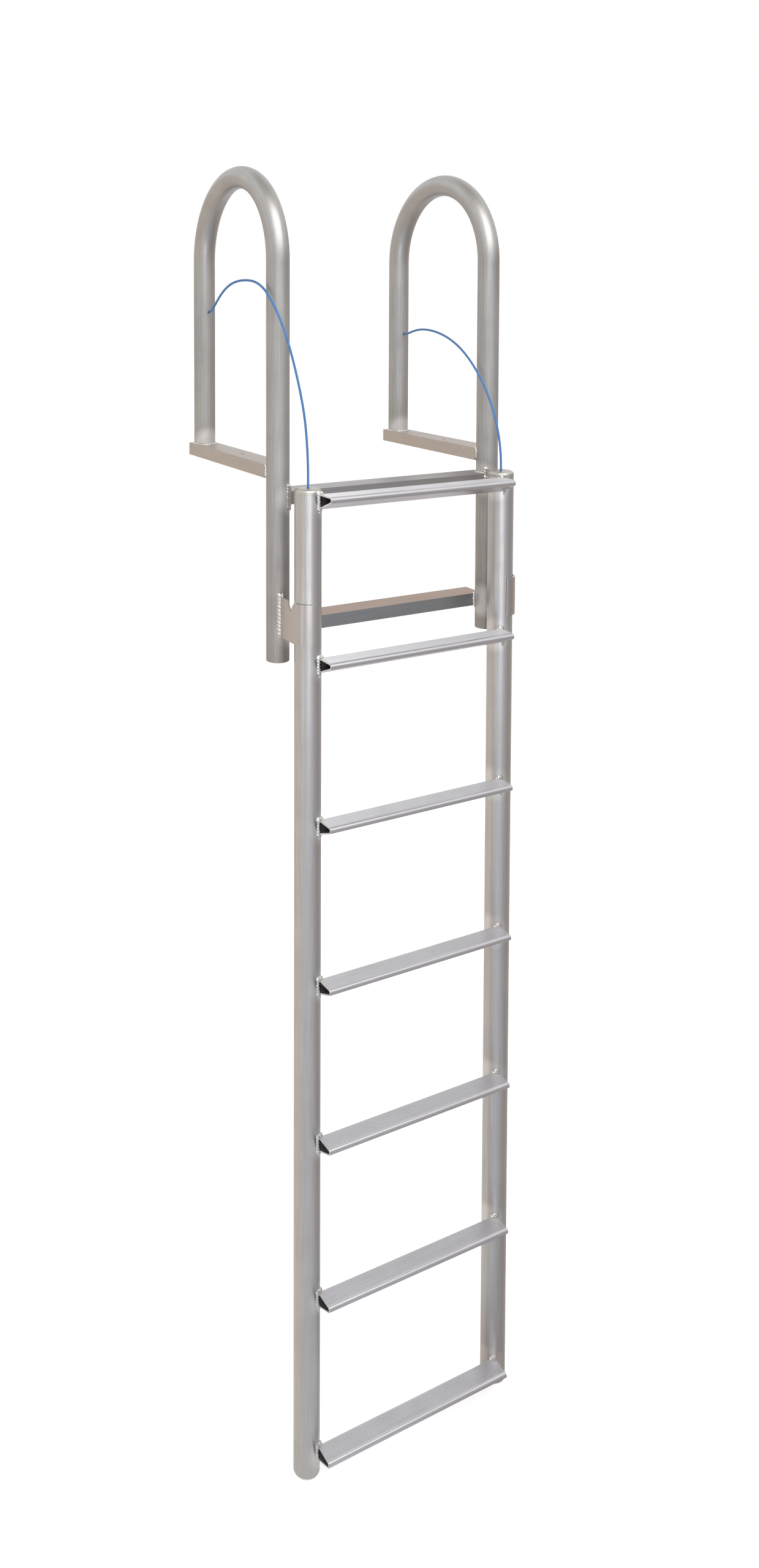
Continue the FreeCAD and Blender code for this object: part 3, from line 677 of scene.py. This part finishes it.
def height_mask(tree, place, low, high, at_low, at_high):
    """A value that changes evenly from one to another between two heights."""
    height = add_node(tree, "ShaderNodeSeparateXYZ", inputs={"Vector": place}).outputs["Z"]
    return add_node(tree, "ShaderNodeMapRange", inputs={
        "Value": height, "From Min": low, "From Max": high,
        "To Min": at_low, "To Max": at_high}).outputs["Result"]


def brushed_mask(tree, place, joints, radius):
    """A patch round each joint, which fades to nothing at the radius."""
    mask = 0.0
    for joint in joints:
        away = add_node(tree, "ShaderNodeVectorMath", {"operation": "DISTANCE"}, {0: place, 1: joint})
        near = add_node(tree, "ShaderNodeMapRange", {"interpolation_type": "SMOOTHSTEP"}, {
            "Value": away.outputs["Value"], "From Min": radius * BRUSHED_CORE, "From Max": radius,
            "To Min": BRUSHED_AMOUNT, "To Max": 0.0})
        mask = add_node(tree, "ShaderNodeMath", {"operation": "MAXIMUM"}, {
            0: near.outputs["Result"], 1: mask}).outputs[0]
    return mask


print("die lines", DIE_LINE * 1000, "mm apart")

# %% [markdown]
# One recipe serves all the pieces but the weld beads. The skin is a soft grey with cloudy patches where it
# was handled, and it gives wide, blurred reflections. Hands have worn the tops of the loops smoother, and
# the lower ends of the front legs turn darker and warmer towards the bottom. Each joint was brushed clean
# before it was welded, which leaves a pale patch that fades into the tube. Fresh cuts are the brightest: the
# open ends of the treads, the rims of the drilled holes and the sawn ends and edges of the straps. On the
# tread ends and the straps that near-white is partly bare cut metal and partly a painted highlight. The
# lower cross member is painted darker and cooler than the upper one, as painted shade, with a painted warm
# reflection on its top and bottom faces. A weld bead is brighter than the tube and pitted, and its pits are
# drawn larger than life, so that they show.

# %% Aluminium finishes
CLOUD = 60 * MM
CLOUD_SHARE = 0.4
DIE_RELIEF = 0.08 * MM
# Near-white for cut faces: partly bare cut metal, partly a painted highlight on the tread ends and the
# straps.
CUT_FACE_AND_HIGHLIGHT = "#F4F3F0"
# A warm tone painted on the lower bar's top and bottom faces, as a painted reflection.
PAINTED_WARM_REFLECTION = "#B39E90"
WEAR = 0.22
BRUSHED = "#E4E2E1"
BRUSHED_RADIUS = 42 * MM
# The loops turn darker and warmer towards their lower ends.
LOW_DARK_TONE = "#8C7F76"
LOW_DARK_SHARE = 0.22
PIT = 1.5 * MM
PIT_RELIEF = 0.15 * MM


def mill_aluminium(name, along, pale, dark, roughness, bend=None, other=None, worn=None, darkened=None,
                   joints=(), reach=BRUSHED_RADIUS, sawn=False):
    """Extruded aluminium with die lines along one direction and cloudy handling marks. It can have another
    tone on the faces that look along one axis, be worn smooth or stained between two heights, and be pale
    within reach of its joints or on a sawn end."""
    material, tree, shader = new_finish(name)
    place = add_node(tree, "ShaderNodeTexCoord").outputs["Object"]
    across = across_the_tube(tree, place, along, bend)
    lines = add_node(tree, "ShaderNodeTexNoise", inputs={
        "Vector": across, "Scale": 1 / DIE_LINE, "Detail": 4.0})
    clouds = add_node(tree, "ShaderNodeTexNoise", inputs={"Vector": place, "Scale": 1 / CLOUD, "Detail": 6.0})
    mixed = add_node(tree, "ShaderNodeMix", {"data_type": "FLOAT"}, {
        0: CLOUD_SHARE, 2: lines.outputs["Fac"], 3: clouds.outputs["Fac"]}).outputs[0]
    tone = add_node(tree, "ShaderNodeValToRGB", inputs={"Fac": mixed})
    tone.color_ramp.elements[0].position = 0.3
    tone.color_ramp.elements[0].color = linear(dark)
    tone.color_ramp.elements[1].position = 0.7
    tone.color_ramp.elements[1].color = linear(pale)
    rough = add_node(tree, "ShaderNodeMapRange", inputs={
        "Value": mixed, "From Min": 0.35, "From Max": 0.65,
        "To Min": roughness + 0.05, "To Max": roughness - 0.04}).outputs["Result"]
    if worn:
        rough = add_node(tree, "ShaderNodeMath", {"operation": "SUBTRACT"}, {
            0: rough, 1: height_mask(tree, place, *worn, 0.0, WEAR)}).outputs[0]
    relief = add_node(tree, "ShaderNodeBump", inputs={
        "Height": lines.outputs["Fac"], "Strength": 0.2, "Distance": DIE_RELIEF})
    second_tones = []
    if other:
        axis, least, code = other
        second_tones.append((facing_mask(tree, axis, least), code))
    if darkened:
        second_tones.append((height_mask(tree, place, *darkened, LOW_DARK_SHARE, 0.0), LOW_DARK_TONE))
    if joints:
        second_tones.append((brushed_mask(tree, place, joints, reach), BRUSHED))
    if sawn:
        second_tones.append((cut_end_mask(tree, place), CUT_FACE_AND_HIGHLIGHT))
    colour = tone.outputs["Color"]
    for mask, code in second_tones:
        colour = add_node(tree, "ShaderNodeMix", {"data_type": "RGBA"}, {
            0: mask, 6: colour, 7: linear(code)}).outputs[2]
    tree.links.new(colour, shader.inputs["Base Color"])
    tree.links.new(rough, shader.inputs["Roughness"])
    tree.links.new(relief.outputs["Normal"], shader.inputs["Normal"])
    shader.inputs["Metallic"].default_value = 1.0
    return material


def weld_aluminium(name):
    """As-welded aluminium, bright and finely pitted."""
    material, tree, shader = new_finish(name)
    place = add_node(tree, "ShaderNodeTexCoord").outputs["Object"]
    grain = add_node(tree, "ShaderNodeTexNoise", inputs={"Vector": place, "Scale": 1 / PIT, "Detail": 3.0})
    tone = add_node(tree, "ShaderNodeValToRGB", inputs={"Fac": grain.outputs["Fac"]})
    tone.color_ramp.elements[0].position = 0.35
    tone.color_ramp.elements[0].color = linear("#B7B4B1")
    tone.color_ramp.elements[1].position = 0.65
    tone.color_ramp.elements[1].color = linear("#E6E3DF")
    pits = add_node(tree, "ShaderNodeBump", inputs={
        "Height": grain.outputs["Fac"], "Strength": 0.4, "Distance": PIT_RELIEF})
    tree.links.new(tone.outputs["Color"], shader.inputs["Base Color"])
    tree.links.new(pits.outputs["Normal"], shader.inputs["Normal"])
    shader.inputs["Roughness"].default_value = 0.27
    shader.inputs["Metallic"].default_value = 1.0
    return material


# A fresh cut's near-white is partly bare metal and partly a painted highlight.
print("a fresh cut is", [round(c, 3) for c in linear(CUT_FACE_AND_HIGHLIGHT)[:3]])

# %% [markdown]
# The pale patches need the places of the joints, and these are worked out from the boxes of the pieces
# that meet there. The places of the bolt holes are the model's own sizes. Then each kind of piece gets its
# own tone and roughness. The caps were turned on a lathe, and the weld round each was ground with it, so
# both share a finish.

# %% Joints, and a finish for each piece
BURR_RADIUS = 7.5 * MM
HOLE_MIDDLE_Y = 39.65 * MM
HOLE_SPACING_Y = 142 * MM
WORN_DEPTH = 100 * MM
LOW_DARK_TOP = -40 * MM


def dress(node, material):
    """Puts one material on a model piece, in place of its own."""
    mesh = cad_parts[node].data
    mesh.materials.clear()
    mesh.materials.append(material)


loop_low, loop_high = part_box("left_handrail_loop")
loop_bend = ((loop_low.y + loop_high.y) / 2, loop_high.z - (loop_high.y - loop_low.y) / 2)
loop_joints = []
rail_joints = []
hole_rims = []
for side, inward in (("left", 1), ("right", -1)):
    foot = leg_centre(side)
    foot.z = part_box(f"{side}_foot_bar")[1].z
    loop_joints.append(foot - Vector((0, TUBE_RADIUS, 0)))
    for fore_or_aft in (-0.5, 0.5):
        hole_rims.append((foot.x, HOLE_MIDDLE_Y + fore_or_aft * HOLE_SPACING_Y, foot.z))
    for bar in ("upper_cross_member", "lower_cross_member"):
        low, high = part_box(bar)
        corner = upright_centre(side) + Vector((inward * TUBE_RADIUS, -TUBE_RADIUS / 2, (low.z + high.z) / 2))
        loop_joints.append(corner)
    low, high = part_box(f"{side}_rail")
    for number in range(1, STEP_COUNT + 1):
        tread_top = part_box(f"step_{number}")[1].z
        inner_x = high.x if side == "left" else low.x
        rail_joints.append((inner_x, low.y + RAIL_RADIUS / 2, tread_top - BACK_WALL / 2))
loop_metal = mill_aluminium("mill_aluminium_bent_tube", "z", "#BDBBB9", "#A7A5A3", roughness=0.62,
                            bend=loop_bend, worn=(loop_bend[1] - WORN_DEPTH, loop_bend[1]),
                            darkened=(loop_low.z, LOW_DARK_TOP), joints=loop_joints)
rail_metal = mill_aluminium("mill_aluminium_rail_tube", "z", "#CAC9C8", "#BAB8B7", roughness=0.4,
                            joints=rail_joints)
foot_metal = mill_aluminium("mill_aluminium_foot_bar", "y", "#C2BAB4", "#B9B1AB", roughness=0.46,
                            joints=hole_rims, reach=BURR_RADIUS)
cross_metal = mill_aluminium("mill_aluminium_cross_bar", "x", "#BCBABA", "#A8A6A5", roughness=0.42)
# The lower bar is painted darker and cooler than the upper one, as painted shade, with a painted warm
# reflection on its top and bottom faces.
lower_cross_painted_shade = mill_aluminium("mill_aluminium_lower_bar_painted_shade", "x", "#A9ABAE", "#97999C", roughness=0.42,
                                   other=("Z", HALF_ON, PAINTED_WARM_REFLECTION))
# The tread ends, and the strap's top and bottom edges and sawn end, take the near-white that is partly a
# painted highlight.
tread_metal = mill_aluminium("mill_aluminium_ribbed_tread", "x", "#D2D1D4", "#C2C1C4", roughness=0.36,
                             other=("X", SQUARE_ON, CUT_FACE_AND_HIGHLIGHT))
strap_metal = mill_aluminium("mill_aluminium_strap", "z", "#C3BFBD", "#BAB6B3", roughness=0.34,
                             other=("Z", HALF_ON, CUT_FACE_AND_HIGHLIGHT), sawn=True)
cap_metal = mill_aluminium("turned_aluminium_cap", "z", "#CDCAC4", "#BBB8B1", roughness=0.36)
weld_metal = weld_aluminium("aluminium_weld_bead")
for bead in welds:
    bead.data.materials.append(cap_metal if bead in cap_rings else weld_metal)
finish_of = {"handrail_loop": loop_metal, "foot_bar": foot_metal, "guide_strap": strap_metal,
             "upper_cross_member": cross_metal, "lower_cross_member": lower_cross_painted_shade,
             "rail_cap": cap_metal, "_rail": rail_metal}
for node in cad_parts:
    if node.startswith("step_"):
        dress(node, tread_metal)
    for ending, metal in finish_of.items():
        if node.endswith(ending):
            dress(node, metal)
print("finishes:", len(bpy.data.materials))

# %% [markdown]
# The ladder stands alone on a white floor, as in a catalogue. The floor is matt white paint with a little
# glow that only shows where the floor is seen directly or mirrored, so that it meets the white sky without
# a line and still takes a soft shadow.

# %% Floor
FLOOR_SIZE = 60.0
FLOOR_GLOW = 0.5
LADDER_MIDDLE = Vector((0.245, -0.2, 0))


def seen_directly(tree):
    """One for rays that come from the camera, a mirror or clear glass, and nothing for scattered light."""
    path = add_node(tree, "ShaderNodeLightPath")
    seen = add_node(tree, "ShaderNodeMath", {"operation": "ADD", "use_clamp": True},
                    {0: path.outputs["Is Camera Ray"], 1: path.outputs["Is Glossy Ray"]})
    return add_node(tree, "ShaderNodeMath", {"operation": "ADD", "use_clamp": True},
                    {0: seen.outputs[0], 1: path.outputs["Is Transmission Ray"]}).outputs[0]


floor_paint, tree, shader = new_finish("matt_white_floor_paint")
shader.inputs["Base Color"].default_value = linear("#F2F1EF")
shader.inputs["Roughness"].default_value = 0.9
shader.inputs["Emission Color"].default_value = (1, 1, 1, 1)
glow = add_node(tree, "ShaderNodeMath", {"operation": "MULTIPLY"}, {0: seen_directly(tree), 1: FLOOR_GLOW})
tree.links.new(glow.outputs[0], shader.inputs["Emission Strength"])

bpy.ops.object.select_all(action="DESELECT")
bpy.ops.mesh.primitive_plane_add(size=FLOOR_SIZE, location=(LADDER_MIDDLE.x, LADDER_MIDDLE.y, model_box[0].z))
floor = bpy.context.object
floor.name = "studio_floor"
floor.data.materials.append(floor_paint)
print("floor at", round(floor.location.z, 3))

# %% [markdown]
# Bare metal has hardly a colour of its own, and shows what stands round it. A photographer hangs a tent
# of tinted cloth round such a thing. This one turns from sand behind on the left, through a cool grey in
# front, to a dark brown grey on the right, so each round tube is light on its left and dark on its
# right. A radial gradient on the tent's own coordinates gives the bearing. The tent is a ring and a
# ground sheet, with a round grey cloth high above that gives the tops of the loops something darker than
# the sky to mirror. It only shows in the metal: the camera and the scattered light pass it by.

# %% Tent for the reflections
TENT_RADIUS = 4.0
TENT_TOP = 1.2
ROOF_RADIUS = 2.2
ROOF_HEIGHT = 4.4
TENT_SIDES = 64
TENT_COLOURS = [(-180, "#E4DDD4"), (-145, "#DADBDE"), (-100, "#D3D5DC"), (-65, "#BDBBBC"), (-32, "#A5A09E"),
                (12, "#D2C4B9"), (60, "#E6E6EA"), (115, "#E6DCD2"), (150, "#F1E6DA"), (180, "#E4DDD4")]


def glowing_cloth(name):
    """Black cloth that is only seen by its glow, which still needs its colour."""
    material, tree, shader = new_finish(name)
    shader.inputs["Base Color"].default_value = (0, 0, 0, 1)
    shader.inputs["Roughness"].default_value = 1.0
    shader.inputs["Emission Strength"].default_value = 1.0
    return material, tree, shader


def tent_cloth(name):
    """Glowing cloth whose colour goes round with the bearing, counted in degrees from +X."""
    material, tree, shader = glowing_cloth(name)
    place = add_node(tree, "ShaderNodeTexCoord").outputs["Object"]
    bearing = add_node(tree, "ShaderNodeTexGradient", {"gradient_type": "RADIAL"}, {"Vector": place})
    colours = add_node(tree, "ShaderNodeValToRGB", inputs={"Fac": bearing.outputs["Fac"]})
    stops = colours.color_ramp.elements
    while len(stops) < len(TENT_COLOURS):
        stops.new(0.5)
    for stop, (degrees_round, code) in zip(stops, TENT_COLOURS):
        stop.position = degrees_round / 360 + 0.5
        stop.color = linear(code)
    tree.links.new(colours.outputs["Color"], shader.inputs["Emission Color"])
    return material


def round_sheet(radius, height):
    """A flat round sheet, centred on the ladder."""
    bpy.ops.object.select_all(action="DESELECT")
    bpy.ops.mesh.primitive_circle_add(vertices=TENT_SIDES, radius=radius, fill_type="NGON",
                                      location=(LADDER_MIDDLE.x, LADDER_MIDDLE.y, height))
    return bpy.context.object


def hang(cloth, name, material):
    """Makes a mesh a part of the tent, which only metal sees."""
    cloth.name = name
    cloth.visible_camera = False
    cloth.visible_diffuse = False
    cloth.visible_shadow = False
    cloth.data.materials.append(material)


tent_foot = model_box[0].z + 2 * MM
tent_material = tent_cloth("tinted_tent_cloth")
bpy.ops.object.select_all(action="DESELECT")
bpy.ops.mesh.primitive_cylinder_add(vertices=TENT_SIDES, radius=TENT_RADIUS, depth=TENT_TOP - tent_foot,
                                    end_fill_type="NOTHING",
                                    location=(LADDER_MIDDLE.x, LADDER_MIDDLE.y, (TENT_TOP + tent_foot) / 2))
hang(bpy.context.object, "tent_ring", tent_material)
hang(round_sheet(TENT_RADIUS, tent_foot), "tent_ground", tent_material)
roof_cloth, tree, shader = glowing_cloth("grey_roof_cloth")
shader.inputs["Emission Color"].default_value = linear("#C9C3BC")
hang(round_sheet(ROOF_RADIUS, ROOF_HEIGHT), "tent_roof", roof_cloth)
print("tent:", TENT_RADIUS, "m round the ladder")

# %% [markdown]
# Three lamps light the ladder, and each stands where one part mirrors it. The wide one, low in front,
# whitens the upper end of the rails. The small one, lower and to the left, draws a line on the strap.
# The big one above whitens the bends of the handrail loops and leaves a soft shadow. The sky is plain
# white where it is seen, and a little weaker where it only lights.

# %% Lamps and sky
SKY_LIGHTING = 0.6
SKY_SEEN = 1.0


def soft_light(name, place, target, width, height, power):
    """A rectangular lamp that faces a place."""
    bpy.ops.object.light_add(type="AREA", location=place)
    lamp = bpy.context.object
    lamp.name = name
    lamp.data.shape = "RECTANGLE"
    lamp.data.size, lamp.data.size_y = width, height
    lamp.data.energy = power
    lamp.rotation_euler = (Vector(target) - Vector(place)).to_track_quat("-Z", "Y").to_euler()


soft_light("rail_light", place=(-0.98, -3.2, -0.64), target=(0.245, -0.26, -0.1), width=2.1, height=0.5,
           power=11.5)
soft_light("strap_glint", place=(-2.99, -1.4, -1.18), target=(0, -0.258, -0.26), width=0.5, height=0.3,
           power=1.8)
soft_light("bend_light", place=(-0.1, -2.75, 2.7), target=(0.245, -0.2, 0.4), width=3.8, height=2.9,
           power=78)

world = bpy.data.worlds.new("white_sky")
bpy.context.scene.world = world
world.use_nodes = True
world.node_tree.nodes.clear()
level = add_node(world.node_tree, "ShaderNodeMapRange", inputs={
    "Value": seen_directly(world.node_tree), "To Min": SKY_LIGHTING, "To Max": SKY_SEEN})
sky = add_node(world.node_tree, "ShaderNodeBackground", inputs={
    "Color": (1, 1, 1, 1), "Strength": level.outputs["Result"]})
add_node(world.node_tree, "ShaderNodeOutputWorld", inputs={"Surface": sky.outputs["Background"]})
bpy.context.scene.view_settings.view_transform = "Standard"
